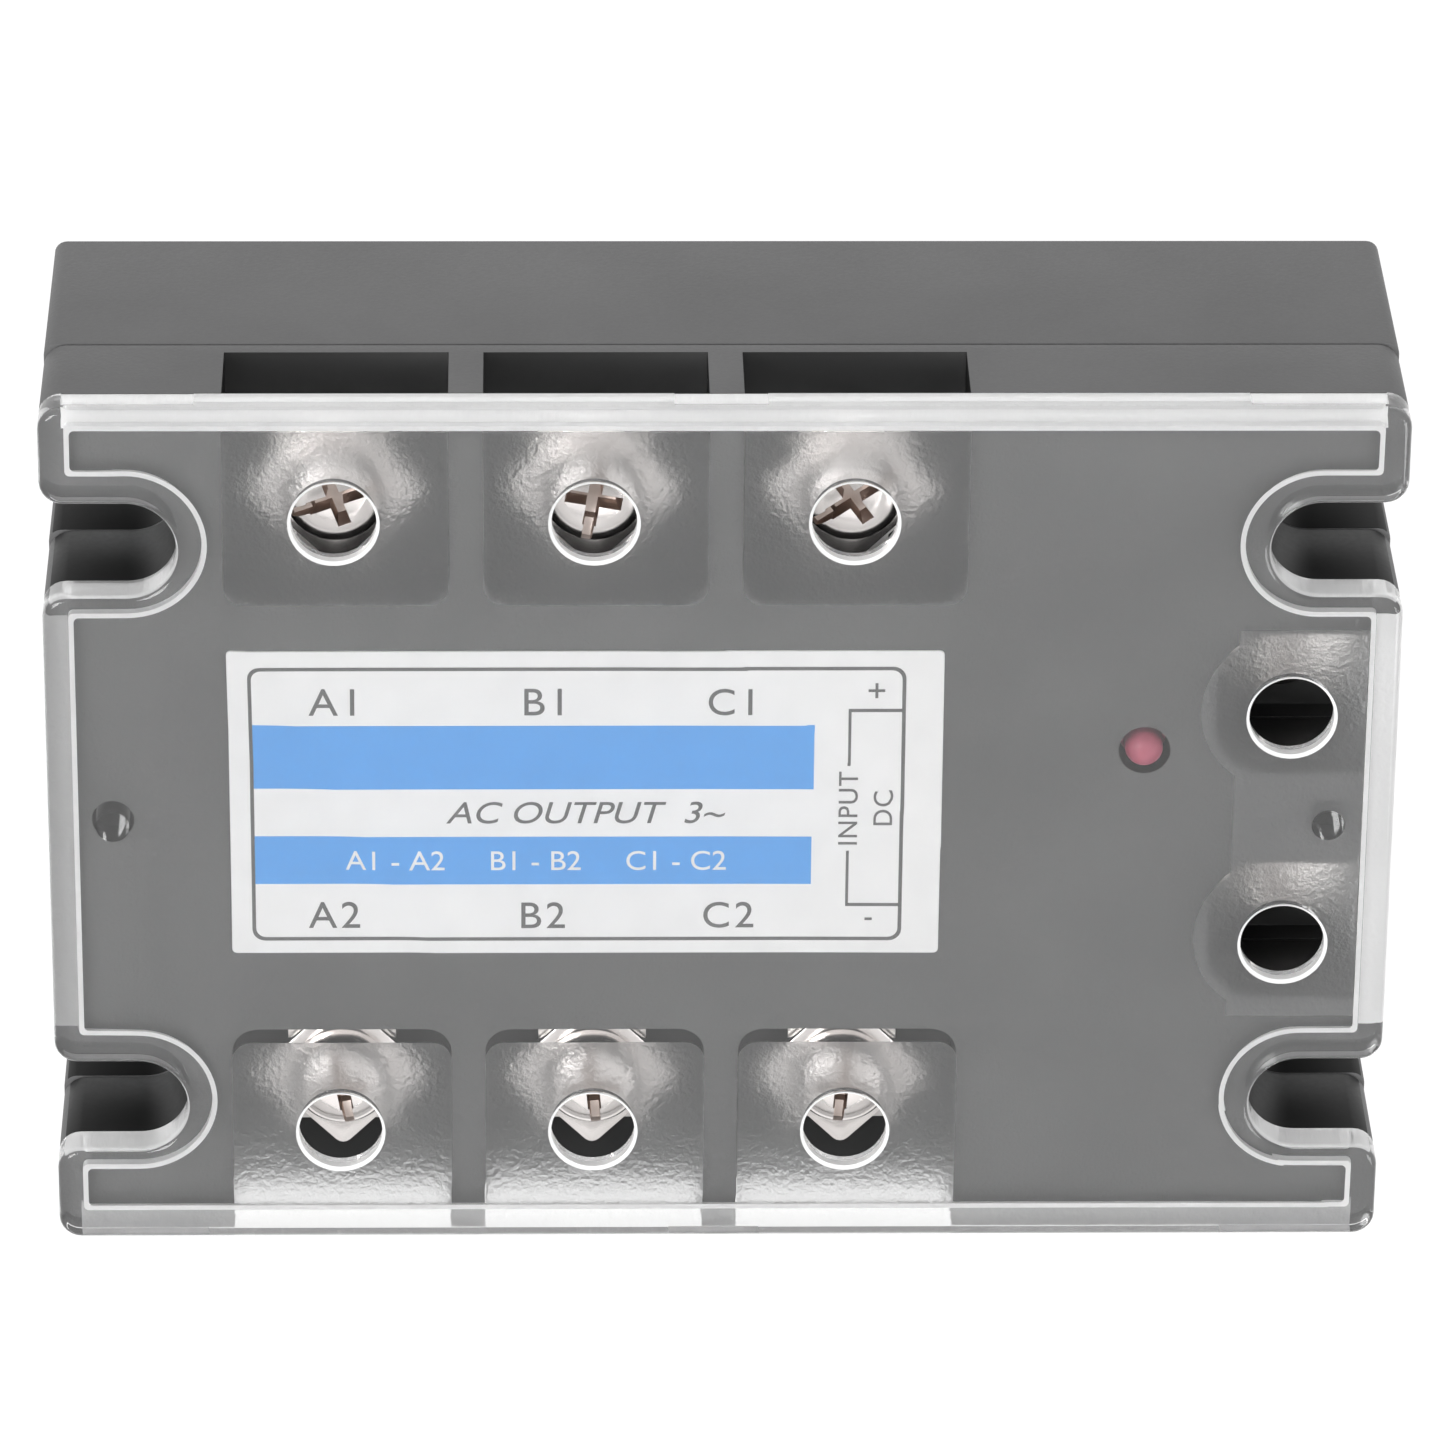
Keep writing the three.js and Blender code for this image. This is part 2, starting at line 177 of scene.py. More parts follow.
def new_material(name):
    """A node material, its node tree and its main shader."""
    material = bpy.data.materials.new(name)
    material.use_nodes = True
    nodes = material.node_tree.nodes
    return material, material.node_tree, nodes["Principled BSDF"]


def object_noise(tree, scale, detail=4, stretch=(1, 1, 1)):
    """Noise fixed to the piece; scale is in features per metre."""
    place = tree.nodes.new("ShaderNodeTexCoord")
    mapping = tree.nodes.new("ShaderNodeMapping")
    mapping.inputs["Scale"].default_value = stretch
    noise = tree.nodes.new("ShaderNodeTexNoise")
    noise.inputs["Scale"].default_value = scale
    noise.inputs["Detail"].default_value = detail
    tree.links.new(place.outputs["Object"], mapping.inputs["Vector"])
    tree.links.new(mapping.outputs["Vector"], noise.inputs["Vector"])
    return noise.outputs["Fac"]


def spread(tree, fac, dark, light, low=0.3, high=0.7):
    """Turns noise into a colour between two colours."""
    ramp = tree.nodes.new("ShaderNodeValToRGB")
    ramp.color_ramp.elements[0].position = low
    ramp.color_ramp.elements[0].color = (*dark, 1)
    ramp.color_ramp.elements[1].position = high
    ramp.color_ramp.elements[1].color = (*light, 1)
    tree.links.new(fac, ramp.inputs["Fac"])
    return ramp.outputs["Color"]


def vary(tree, fac, low, high):
    """Turns noise into a number between low and high."""
    span = tree.nodes.new("ShaderNodeMapRange")
    span.inputs["To Min"].default_value = low
    span.inputs["To Max"].default_value = high
    tree.links.new(fac, span.inputs["Value"])
    return span.outputs["Result"]


def relief(tree, shader, fac, depth, strength=1.0):
    """Raises the surface by the noise; depth is in metres."""
    bump = tree.nodes.new("ShaderNodeBump")
    bump.inputs["Distance"].default_value = depth
    bump.inputs["Strength"].default_value = strength
    tree.links.new(fac, bump.inputs["Height"])
    tree.links.new(bump.outputs["Normal"], shader.inputs["Normal"])


def metal(name, dark, light, roughness, grain=900, stretch=(1, 1, 1), depth=0.002 * mm):
    """Bare or plated metal with a fine worked surface and slightly uneven polish."""
    material, tree, shader = new_material(name)
    shader.inputs["Metallic"].default_value = 1
    cloud = object_noise(tree, 180, 3)
    lines = object_noise(tree, grain, 4, stretch)
    tree.links.new(spread(tree, cloud, dark, light), shader.inputs["Base Color"])
    tree.links.new(vary(tree, lines, roughness * 0.75, roughness * 1.3), shader.inputs["Roughness"])
    relief(tree, shader, lines, depth)
    return material


milled_aluminium = metal(
    "milled aluminium", (0.5, 0.51, 0.53), (0.66, 0.67, 0.69), 0.36, 1500, (1, 0.04, 1)
)

plate_low, plate_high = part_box("base_plate")
base_plate = slab("base_plate_milled", plate_low, plate_high, milled_aluminium)
round_off(base_plate, 1 * mm, 5, upright)
for along_x in (1, -1):
    for along_y in (1, -1):
        x = along_x * NOTCH_X
        y = along_y * NOTCH_Y
        end = along_x * (plate_high.x + 1 * mm)
        carve(
            base_plate,
            peg("slot", x, y, SLOT_RADIUS, -1 * mm, plate_high.z + 1 * mm, milled_aluminium),
            slab(
                "slot mouth",
                (min(x, end), y - SLOT_RADIUS, -1 * mm),
                (max(x, end), y + SLOT_RADIUS, plate_high.z + 1 * mm),
                milled_aluminium,
            ),
        )
soften(base_plate, 0.25 * mm)
fit(base_plate, "housing", "base_metal", "base_plate")


# ---- power section and control board ----
# Everything sealed inside the case: ceramic plates with their chips, pin headers, the resin
# that covers them, and the circuit board with its optocouplers and snubber capacitors.


def moulded(name, dark, light, roughness, grain=2600, depth=0.01 * mm, cloud_size=70):
    """Plastic or resin with a fine surface grain and slightly uneven colour."""
    material, tree, shader = new_material(name)
    cloud = object_noise(tree, cloud_size, 5)
    fine = object_noise(tree, grain, 3)
    tree.links.new(spread(tree, cloud, dark, light), shader.inputs["Base Color"])
    tree.links.new(vary(tree, fine, roughness * 0.88, roughness * 1.12), shader.inputs["Roughness"])
    relief(tree, shader, fine, depth)
    return material


inner_finishes = {
    "ceramic": moulded("fired ceramic", (0.8, 0.79, 0.75), (0.88, 0.87, 0.84), 0.5),
    "silicon": moulded("polished silicon", (0.05, 0.055, 0.065), (0.08, 0.085, 0.1), 0.2),
    "black_plastic": moulded("black moulding", (0.012, 0.012, 0.013), (0.025, 0.025, 0.027), 0.45),
    "potting_resin": moulded("cast resin", (0.015, 0.015, 0.017), (0.03, 0.03, 0.034), 0.3, 200),
    "board_laminate": moulded("solder mask", (0.02, 0.16, 0.06), (0.04, 0.24, 0.1), 0.35, 1800),
    "capacitor_coat": moulded("dipped coat", (0.4, 0.05, 0.03), (0.52, 0.08, 0.05), 0.3, 600),
    "nickel_steel": metal("nickel nut", (0.6, 0.58, 0.56), (0.72, 0.7, 0.68), 0.3),
}
node_slots = {entry["node"]: entry["material_slot"] for entry in frame["record"]["subparts"]}
for node, shape in frame["nodes"].items():
    if node_slots[node] in inner_finishes:
        shape.data.materials.clear()
        shape.data.materials.append(inner_finishes[node_slots[node]])


# ---- lower case ----
# The grey moulded frame round the power section. Its outside is spark-textured; its four mounting
# notches and its inside are smooth and coloured near black, which is painted shade.

CORNER = 1.8 * mm
LOWER_CORNER = 1 * mm
WALL = 2 * mm
NOTCH_RADIUS = 3.9 * mm
CONTROL_BAY_LEFT = 38.5 * mm
CONTROL_BAY_CORNER = 4 * mm
CONTROL_Y = 10 * mm
CONTROL_BAY_HALF = 6 * mm
CONTROL_FLOOR = 17.8 * mm
HOUSING_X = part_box("lower_case")[1].x
HOUSING_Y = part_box("lower_case")[1].y

case_grain = moulded(
    "grained case plastic", (0.107, 0.107, 0.108), (0.126, 0.126, 0.127), 0.6, 3000, 0.05 * mm
)
# A near-black copy of the case plastic for the notches, cavity, bays, wells and bosses: painted shade.
case_plastic_painted_shade = moulded(
    "smooth case plastic with painted shade", (0.01, 0.01, 0.01), (0.015, 0.015, 0.015), 0.45, 2000, 0.004 * mm
)
case_plastic_painted_shade.node_tree.nodes["Principled BSDF"].inputs["Specular IOR Level"].default_value = 0.25


def notched_block(name, inset, bottom, top, finish, notch_finish, corner=CORNER):
    """The housing's plan moved inwards: rounded corners, and two open notches at each end."""
    x = HOUSING_X - inset
    y = HOUSING_Y - inset
    corner = max(corner - inset, 0.4 * mm)
    radius = NOTCH_RADIUS + inset
    block = slab(name, (-x, -y, bottom), (x, y, top), finish)
    for along_x in (1, -1):
        for along_y in (1, -1):
            tip = along_x * (NOTCH_X - radius)
            xs = sorted((tip, along_x * (x + CORNER)))
            middle = along_y * NOTCH_Y
            notch = slab(
                "notch",
                (xs[0], middle - radius, bottom - WALL),
                (xs[1], middle + radius, top + WALL),
                notch_finish,
            )
            round_off(notch, radius * 0.999, 16, lambda a, b: upright(a, b) and abs(a.x - tip) < 0.01 * mm)
            carve(block, notch)
    round_off(block, corner, 6, lambda a, b: upright(a, b) and abs(abs(a.x) - x) < 0.01 * mm)
    return block


def inner_corner(a, b):
    """The upright edges at a control bay's inner end."""
    return upright(a, b) and a.x < CONTROL_BAY_LEFT + 0.01 * mm


def control_bays(floor, top, finish):
    """Cutters for the two bays at the control end, open towards the outside."""
    bays = []
    for along_y in (1, -1):
        middle = along_y * CONTROL_Y
        bay = slab(
            "control bay",
            (CONTROL_BAY_LEFT, middle - CONTROL_BAY_HALF, floor),
            (HOUSING_X + 1 * mm, middle + CONTROL_BAY_HALF, top),
            finish,
        )
        round_off(bay, CONTROL_BAY_CORNER, 6, inner_corner)
        bays.append(bay)
    return bays


low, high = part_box("lower_case")
plate_top = plate_high.z
lower_case = notched_block("lower_case_shell", 0, low.z, high.z, case_grain, case_plastic_painted_shade, LOWER_CORNER)
cavity = notched_block("cavity", WALL, plate_top, high.z + 1 * mm, case_plastic_painted_shade, case_plastic_painted_shade)
pocket = slab(
    "plate pocket",
    (-HOUSING_X + WALL, -HOUSING_Y + WALL, low.z - 1 * mm),
    (HOUSING_X - WALL, HOUSING_Y - WALL, plate_top),
    case_plastic_painted_shade,
)
carve(lower_case, cavity, pocket, *control_bays(CONTROL_FLOOR, high.z + 1 * mm, case_plastic_painted_shade))
soften(lower_case, 0.14 * mm)
fit(lower_case, "housing", "case_plastic", "lower_case")


# ---- upper case ----
# The grey moulded top of the case. Six power bays are open to the long sides, two control
# bays to the right-hand end, and each has a boss below it that holds a nut.

PHASE_X = [-30 * mm, -10 * mm, 10 * mm]
POWER_Y = 25.95 * mm
DRIVER_HOLE_Y = 26.8 * mm
BAY_HALF = 8.65 * mm
BAY_SHIFT = 0.15 * mm
BAY_BACK = 18.8 * mm
BAY_CORNER = 2 * mm
BAY_FLOOR = 21.6 * mm
LED_X = 33 * mm
LED_Y = 6 * mm
LED_HOLE = 2 * mm
PEG_X = 47.5 * mm
PEG_SOCKET = 1.6 * mm
PEG_END = 26 * mm
BAR_NECK = 3 * mm
BAR_NECK_END = 21.2 * mm
BAR_BACK = 19.3 * mm
BAR_THICKNESS = 0.8 * mm
NUT_WELL_HALF = 4.3 * mm
NUT_BOSS_HALF = 5.5 * mm
NUT_DEPTH = 4 * mm
POWER_BORE = 2.8 * mm
GAP = 0.3 * mm
SEAM_GAP = 0.25 * mm

power_places = [(x, side) for side in (1, -1) for x in PHASE_X]
case_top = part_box("upper_case")[1].z
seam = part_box("lower_case")[1].z
# The notches, bays, slots, wells and sockets cut below take the near-black case plastic, painted shade.
upper_case = notched_block("upper_case_shell", 0, seam + SEAM_GAP, case_top, case_grain, case_plastic_painted_shade)


def mirrored_span(side, near, far):
    """A span along Y on one side of the housing, lower end first."""
    return sorted((side * near, side * far))


def terminal_tag(x, side):
    """The terminal's phase and row, such as a1."""
    return "%s%d" % ("abc"[PHASE_X.index(x)], 1 if side > 0 else 2)


for x, side in power_places:
    ys = mirrored_span(side, BAY_BACK, HOUSING_Y + 1 * mm)
    bay = slab(
        "power bay",
        (x + BAY_SHIFT - BAY_HALF, ys[0], BAY_FLOOR),
        (x + BAY_SHIFT + BAY_HALF, ys[1], case_top + 1 * mm),
        case_plastic_painted_shade,
    )
    round_off(
        bay, BAY_CORNER, 6, lambda a, b: upright(a, b) and abs(abs(a.y) - BAY_BACK) < 0.01 * mm
    )
    carve(upper_case, bay)
    slot_ys = mirrored_span(side, BAR_BACK - GAP, BAR_BACK + BAR_THICKNESS + GAP)
    bar_slot = slab(
        "bar slot",
        (x - BAR_NECK - GAP, slot_ys[0], seam - 1 * mm),
        (x + BAR_NECK + GAP, slot_ys[1], BAY_FLOOR + 1 * mm),
        case_plastic_painted_shade,
    )
    nut_well = slab(
        "nut well",
        (x - NUT_WELL_HALF, side * POWER_Y - NUT_WELL_HALF, seam - 1 * mm),
        (x + NUT_WELL_HALF, side * POWER_Y + NUT_WELL_HALF, BAY_FLOOR + 1 * mm),
        case_plastic_painted_shade,
    )
    carve(upper_case, bar_slot, nut_well)

carve(upper_case, *control_bays(seam - 1 * mm, case_top + 1 * mm, case_plastic_painted_shade))
carve(upper_case, peg("led hole", LED_X, LED_Y, LED_HOLE, seam - 1 * mm, case_top + 1 * mm, case_plastic_painted_shade))
for side in (1, -1):
    carve(
        upper_case,
        peg("peg socket", side * PEG_X, 0, PEG_SOCKET, PEG_END - GAP, case_top + 1 * mm, case_plastic_painted_shade),
    )
soften(upper_case, 0.12 * mm)
fit(upper_case, "housing", "case_plastic", "upper_case")


def tub(name, low, high, wells):
    """An open-topped box under a bay, with wells cut in its floor, that holds a nut."""
    # The box takes the near-black case plastic, which is painted shade.
    piece = slab(name, low, high, case_plastic_painted_shade)
    carve(piece, *wells)
    soften(piece, 0.15 * mm)
    fit(piece, "housing", "case_plastic")


for x, side in power_places:
    nut_bottom = BAY_FLOOR - NUT_DEPTH
    tub(
        "nut_boss_" + terminal_tag(x, side),
        (x - NUT_BOSS_HALF, side * POWER_Y - NUT_BOSS_HALF, nut_bottom - 1 * mm),
        (x + NUT_BOSS_HALF, side * POWER_Y + NUT_BOSS_HALF, seam),
        [
            slab(
                "nut well",
                (x - NUT_WELL_HALF, side * POWER_Y - NUT_WELL_HALF, nut_bottom),
                (x + NUT_WELL_HALF, side * POWER_Y + NUT_WELL_HALF, seam + 1 * mm),
                case_plastic_painted_shade,
            ),
            peg(
                "screw way",
                x,
                side * POWER_Y,
                POWER_BORE,
                nut_bottom - 2 * mm,
                nut_bottom + 1 * mm,
                case_plastic_painted_shade,
            ),
        ],
    )


# ---- face label ----
# A white printed film stuck on the case: a thin grey border, two blue bars, the terminal
# letters, and a bracket that shows where the control input goes.

label_low, label_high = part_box("label")
INK = 0.03 * mm


def printed(name, colour, roughness=0.45):
    """Ink or film with a faint unevenness in its coat."""
    material, tree, shader = new_material(name)
    cloud = object_noise(tree, 400, 3)
    fine = object_noise(tree, 5000, 2)
    darker = tuple(channel * 0.96 for channel in colour)
    tree.links.new(spread(tree, cloud, darker, colour), shader.inputs["Base Color"])
    tree.links.new(vary(tree, fine, roughness * 0.9, roughness * 1.1), shader.inputs["Roughness"])
    return material


label_film = printed("label film", (0.9, 0.9, 0.9))
blue_ink = printed("blue ink", (0.09, 0.37, 0.85))
grey_ink = printed("grey ink", (0.12, 0.12, 0.12))
white_ink = printed("white ink", (0.86, 0.86, 0.86))

label = slab("label_film", label_low, label_high, label_film)
round_off(label, 0.4 * mm, 4, upright)
soften(label, 0.04 * mm, 1)
fit(label, "housing", "label_film", "label")

label_width = label_high.x - label_low.x
label_height = label_high.y - label_low.y


def on_label(across, down):
    """A place on the label from shares of its width and height, from its top left corner."""
    return label_low.x + across * label_width, label_high.y - down * label_height


def print_box(name, left, top, right, bottom, ink, layer=0):
    """A printed rectangle."""
    x0, y1 = on_label(left, top)
    x1, y0 = on_label(right, bottom)
    z = label_high.z + layer * INK
    return slab(name, (x0, y0, z), (x1, y1, z + INK), ink)


def print_text(name, words, across, down, height, ink, layer=0, turn=0, spacing=1.0, stretch=1.0, lean=0.0):
    """Printed letters, centred on their place, as a thin solid."""
    x, y = on_label(across, down)
    bpy.ops.object.text_add(location=(0, 0, 0))
    writing = bpy.context.object
    writing.data.body = words
    writing.data.size = 1
    writing.data.align_x = "CENTER"
    writing.data.align_y = "CENTER"
    writing.data.space_character = spacing
    writing.data.shear = lean
    writing.data.resolution_u = 6
    writing.data.extrude = 0.01
    bpy.ops.object.convert(target="MESH")
    piece = name_it(name)
    tall = piece.dimensions.y
    size = height / tall
    piece.scale = (size * stretch, size, INK / piece.dimensions.z)
    bpy.ops.object.transform_apply(location=False, rotation=False, scale=True)
    lows = [min(v.co[axis] for v in piece.data.vertices) for axis in range(3)]
    highs = [max(v.co[axis] for v in piece.data.vertices) for axis in range(3)]
    middle = [(a + b) / 2 for a, b in zip(lows, highs)]
    piece.location = (-middle[0], -middle[1], -lows[2])
    bpy.ops.object.transform_apply(location=True, rotation=False, scale=False)
    piece.rotation_euler = (0, 0, math.radians(turn))
    piece.location = (x, y, label_high.z + layer * INK)
    bpy.ops.object.transform_apply(location=True, rotation=True, scale=True)
    piece.data.materials.clear()
    piece.data.materials.append(ink)
    return piece


def gather(name, pieces):
    """Joins printed shapes of one ink into one piece."""
    bpy.ops.object.select_all(action="DESELECT")
    for piece in pieces:
        piece.select_set(True)
    bpy.context.view_layer.objects.active = pieces[0]
    bpy.ops.object.join()
    return name_it(name)


LINE = 0.0052
border = print_box("border", 0.029, 0.052, 0.947, 0.957, grey_ink)
round_off(border, 1 * mm, 5, upright)
window_x = LINE
window_y = LINE * label_width / label_height
window = print_box(
    "window", 0.029 + window_x, 0.052 + window_y, 0.947 - window_x, 0.957 - window_y, grey_ink
)
round_off(window, 0.8 * mm, 5, upright)
for vertex in window.data.vertices:
    vertex.co.z += INK * (1 if vertex.co.z > label_high.z + INK / 2 else -1)
carve(border, window)
INPUT_X = 0.869
bracket = [
    print_box("line", INPUT_X - 0.002, 0.19, 0.943, 0.2, grey_ink),
    print_box("line", INPUT_X - 0.002, 0.832, 0.943, 0.842, grey_ink),
    print_box("line", INPUT_X - 0.002, 0.2, INPUT_X + 0.002, 0.375, grey_ink),
    print_box("line", INPUT_X - 0.002, 0.657, INPUT_X + 0.002, 0.832, grey_ink),
]
letters = []
for phase, across in zip("ABC", (0.145, 0.44, 0.702)):
    letters.append(print_text("letters", phase + "1", across, 0.165, 2.3 * mm, grey_ink, spacing=1.15))
    letters.append(print_text("letters", phase + "2", across, 0.872, 2.3 * mm, grey_ink, spacing=1.15))
letters.append(print_text("letters", "AC OUTPUT  3~", 0.5, 0.53, 1.9 * mm, grey_ink, stretch=1.1, lean=0.25))
letters.append(print_text("letters", "INPUT", INPUT_X, 0.515, 1.5 * mm, grey_ink, turn=90, spacing=1.1))
letters.append(print_text("letters", "DC", 0.918, 0.515, 1.5 * mm, grey_ink, turn=90, spacing=1.1))
letters.append(print_text("letters", "+", 0.906, 0.13, 1.3 * mm, grey_ink))
letters.append(print_text("letters", "-", 0.9, 0.885, 0.22 * mm, grey_ink))
grey_print = gather("label_grey_print", [border, *bracket, *letters])
fit(grey_print, "housing", "label_film")
blue_print = gather(
    "label_blue_print",
    [
        print_box("bar", 0.034, 0.243, 0.82, 0.452, blue_ink),
        print_box("bar", 0.034, 0.61, 0.818, 0.768, blue_ink),
    ],
)
fit(blue_print, "housing", "label_film")
white_print = print_text(
    "label_white_print", "A1 - A2     B1 - B2     C1 - C2", 0.43, 0.689, 1.7 * mm, white_ink, 1
)
fit(white_print, "housing", "label_film")


# ---- indicator ----
# A 3 mm red LED that stands in its hole just proud of the case, seen through the cover.

led_low, led_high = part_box("led")
LED_RADIUS = 1.5 * mm
LED_COLLAR = 1.9 * mm
LED_HEIGHT = 4.9 * mm
LEAD_PITCH = 1.27 * mm
LEAD_HALF = 0.25 * mm
tinned_copper = metal("tinned copper", (0.62, 0.6, 0.58), (0.76, 0.74, 0.72), 0.3, 700, (1, 0.1, 1))
led_resin, tree, shader = new_material("tinted led resin")
tree.links.new(
    spread(tree, object_noise(tree, 900, 3), (0.42, 0.075, 0.13), (0.56, 0.13, 0.2)),
    shader.inputs["Base Color"],
)
shader.inputs["Roughness"].default_value = 0.3
shader.inputs["Subsurface Weight"].default_value = 0.3
shader.inputs["Subsurface Radius"].default_value = (0.0012, 0.0004, 0.0004)

lens = peg("led_lens", LED_X, LED_Y, LED_RADIUS, led_high.z - LED_HEIGHT, led_high.z, led_resin)
round_off(lens, 1.25 * mm, 10, lambda a, b: min(a.z, b.z) > led_high.z - 0.1 * mm)
lens_foot = led_high.z - LED_HEIGHT
add_on(lens, peg("led collar", LED_X, LED_Y, LED_COLLAR, lens_foot, lens_foot + 1.3 * mm, led_resin))
for side in (1, -1):
    lead_y = LED_Y + side * LEAD_PITCH
    add_on(
        lens,
        slab(
            "lead",
            (LED_X - LEAD_HALF, lead_y - LEAD_HALF, led_low.z),
            (LED_X + LEAD_HALF, lead_y + LEAD_HALF, led_high.z - 4.6 * mm),
            tinned_copper,
        ),
    )
work_on(lens)
bpy.ops.object.shade_smooth_by_angle(angle=math.radians(40))
fit(lens, "housing", "led_resin", "led")


# ---- terminal bars ----
# Tinned copper strip, bent twice: a pad on the bay's floor, a leg down through the case,
# and a foot soldered to the ceramic plate.

for x, side in power_places:
    tag = terminal_tag(x, side)
    low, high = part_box("busbar_" + tag)
    far = max(abs(low.y), abs(high.y))
    left = x - BAR_NECK
    right = x + BAR_NECK
    pad_ys = mirrored_span(side, BAR_NECK_END, far)
    neck_ys = mirrored_span(side, BAR_BACK, BAR_NECK_END + 0.2 * mm)
    leg_ys = mirrored_span(side, BAR_BACK, BAR_BACK + BAR_THICKNESS)
    foot_ys = mirrored_span(side, BAR_BACK - 5 * mm, BAR_BACK + BAR_THICKNESS)
    bar = slab(
        "terminal_bar_" + tag,
        (low.x, pad_ys[0], high.z - BAR_THICKNESS),
        (high.x, pad_ys[1], high.z),
        tinned_copper,
    )
    round_off(bar, 1.3 * mm, 1, lambda a, b: upright(a, b) and abs(abs(a.y) - BAR_NECK_END) < 0.01 * mm)
    add_on(
        bar,
        slab("neck", (left, neck_ys[0], high.z - BAR_THICKNESS), (right, neck_ys[1], high.z), tinned_copper),
        slab("leg", (left, leg_ys[0], low.z), (right, leg_ys[1], high.z - 0.1 * mm), tinned_copper),
        slab("foot", (left, foot_ys[0], low.z), (right, foot_ys[1], low.z + BAR_THICKNESS), tinned_copper),
    )
    y = side * POWER_Y
    carve(bar, peg("hole", x, y, POWER_BORE, high.z - 3 * mm, high.z + 1 * mm, tinned_copper, 32))
    soften(bar, 0.12 * mm)
    fit(bar, "housing", "copper", "busbar_" + tag)


# ---- clamp washers and terminal screws ----
# Nickel-plated steel. Each M5 pan-head screw holds its own square washer, which presses the
# wire on the bar; the head has a cross recess with a slot across it.

nickel = metal("bright nickel plate", (0.76, 0.72, 0.7), (0.9, 0.86, 0.84), 0.2, 1400)
# The recess metal is darker and browner than the plating: painted shade inside the screw-head recess.
recess_metal_painted_shade = metal("recess metal with painted shade", (0.3, 0.24, 0.21), (0.62, 0.54, 0.5), 0.3, 900)


def square_washer(name, x, y, node, side, hole, turn):
    """A square plate with rounded corners and a round hole."""
    low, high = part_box(node)
    half = side / 2
    washer = slab(name, (-half, -half, low.z), (half, half, high.z), nickel)
    round_off(washer, side / 12, 4, upright)
    carve(washer, peg("hole", 0, 0, hole, low.z - 1 * mm, high.z + 1 * mm, nickel))
    soften(washer, 0.18 * mm)
    washer.rotation_euler = (0, 0, math.radians(turn))
    washer.location = (x, y, 0)
    bpy.ops.object.transform_apply(location=True, rotation=True, scale=True)
    return washer


def pan_screw(name, x, y, node, under, thread, turn):
    """A pan-head screw standing in its terminal, with a slotted cross recess."""
    low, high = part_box(node)
    head = (high.x - low.x) / 2
    screw = peg(name, 0, 0, head, under, high.z, nickel, 64)
    dome = (high.z - under) * 0.6
    round_off(screw, dome, 6, lambda a, b: min(a.z, b.z) > high.z - 0.01 * mm)
    recess = (high.z - under) * 0.62
    arm = head * 0.62
    thin = head * 0.15
    # The recess faces take the darker recess metal, which is painted shade.
    for cutter in (
        slab("cross", (-arm, -thin, high.z - recess), (arm, thin, high.z + 1 * mm), recess_metal_painted_shade),
        slab("cross", (-thin, -arm, high.z - recess), (thin, arm, high.z + 1 * mm), recess_metal_painted_shade),
        slab(
            "slot",
            (-head * 1.2, -thin * 0.8, high.z - recess * 0.6),
            (head * 1.2, thin * 0.8, high.z + 1 * mm),
            recess_metal_painted_shade,
        ),
    ):
        pick_faces(cutter, lambda centre, normal: normal.z < -0.9)
        bpy.ops.transform.resize(value=(0.72, 0.72, 1))
        bpy.ops.object.mode_set(mode="OBJECT")
        carve(screw, cutter)
    shank = peg("shank", 0, 0, thread, low.z, under + 0.2 * mm, nickel, 32)
    round_off(shank, thread * 0.3, 2, lambda a, b: max(a.z, b.z) < low.z + 0.01 * mm)
    add_on(screw, shank)
    soften(screw, 0.1 * mm, 2, 35)
    screw.rotation_euler = (0, 0, math.radians(turn))
    screw.location = (x, y, 0)
    bpy.ops.object.transform_apply(location=True, rotation=True, scale=True)
    return screw


SCREW_TURNS = [20, 80, 35, 100, 95, 85]
for (x, side), turn in zip(power_places, SCREW_TURNS):
    tag = terminal_tag(x, side)
    y = side * POWER_Y
    washer = square_washer("clamp_plate_" + tag, x, y, "clamp_washer_" + tag, 10 * mm, POWER_BORE, 45)
    fit(washer, "washer_" + tag, "nickel_steel", "clamp_washer_" + tag)
    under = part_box("clamp_washer_" + tag)[1].z
    screw = pan_screw("pan_screw_" + tag, x, y, "terminal_screw_" + tag, under, 2.5 * mm, turn)
    fit(screw, "screw_" + tag, "nickel_steel", "terminal_screw_" + tag)


# ---- control terminals ----
# The two small terminals for the control wires, deep in their bays: a moulded floor, a tinned
# strip, a square washer and an M3.5 screw.

CONTROL_X = 44.2 * mm
CONTROL_TUB_HALF = 7.3 * mm
CONTROL_BORE = 2.05 * mm
STRIP_THICKNESS = 0.8 * mm
LEG_HALF = 1.75 * mm

